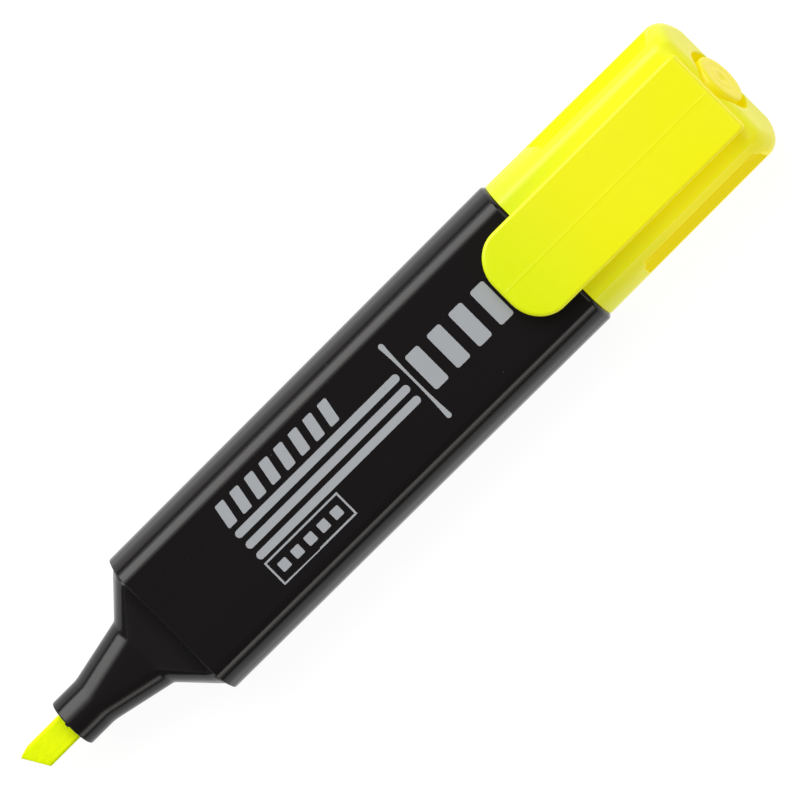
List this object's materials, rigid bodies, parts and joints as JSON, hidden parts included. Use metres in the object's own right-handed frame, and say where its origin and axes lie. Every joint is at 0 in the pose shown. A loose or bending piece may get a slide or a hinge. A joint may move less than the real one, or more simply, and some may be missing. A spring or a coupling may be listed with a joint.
{
  "type": "highlighter",
  "caption": "Flat-bodied highlighter pen with a chisel nib, its wide-clipped cap posted on the rear end of the barrel.",
  "frame": {"origin": "under the middle of the pen's length and width, on the plane of the barrel's back face", "axes": "+X runs from the nib to the cap, +Y across the broad face towards the nib's long point, +Z out of the clip side"},
  "size_m": [0.1416, 0.0262, 0.0154],
  "materials": {
    "barrel_black": "gloss",
    "nose_black": "satin",
    "plug_black": "satin",
    "nib_fibre": "matte",
    "ink_fibre": "matte",
    "film": "satin",
    "cap_yellow": "satin",
    "sleeve_yellow": "satin",
    "clip_yellow": "satin"
  },
  "bodies": {
    "barrel": {"barrel_shell": "barrel_black", "nose_section": "nose_black", "nib": "nib_fibre", "ink_reservoir": "ink_fibre", "reservoir_film": "film", "rear_plug": "plug_black"},
    "cap": {"cap_shell": "cap_yellow", "inner_cap": "sleeve_yellow"},
    "clip": {"cap_clip": "clip_yellow"}
  },
  "joints": [
    {"name": "cap_pull", "type": "slide", "parent": "barrel", "child": "cap", "axis": [1, 0, 0], "range_m": [0, 0.045]},
    {"name": "clip_flex", "type": "hinge", "parent": "cap", "child": "clip", "pos_m": [0.06535, 0, 0.014], "axis": [0, 1, 0], "range_deg": [0, 6], "stiffness_Nm_per_rad": 2.5}
  ]
}
